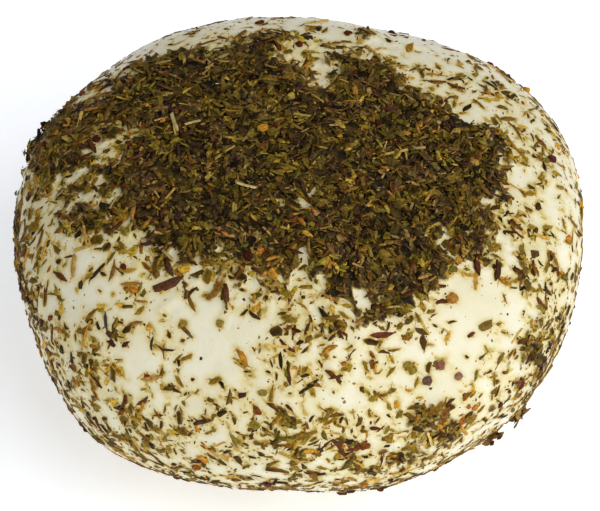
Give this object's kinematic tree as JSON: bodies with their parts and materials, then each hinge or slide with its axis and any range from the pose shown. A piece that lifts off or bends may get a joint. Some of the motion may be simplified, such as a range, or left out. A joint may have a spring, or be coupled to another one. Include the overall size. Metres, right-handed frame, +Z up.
{
  "type": "herb coated goat cheese round",
  "caption": "Squat hand-pressed round of soft white goat cheese with a flat foot, coated in dried herbs that lie thickest over its top.",
  "frame": {"origin": "middle of the flat foot that the cheese rests on, under the middle of the round", "axes": "+Z up, +X to the right and -Y towards the viewer as the cheese is shown"},
  "size_m": [0.1023, 0.1085, 0.0644],
  "materials": {
    "paste": "moist, smooth fresh cheese with a soft sheen",
    "herbs": "dry, crumbled leaves, needles, stems and pepper, oiled where they lie in the paste"
  },
  "bodies": {
    "root": {"cheese": "paste"}
  },
  "joints": []
}
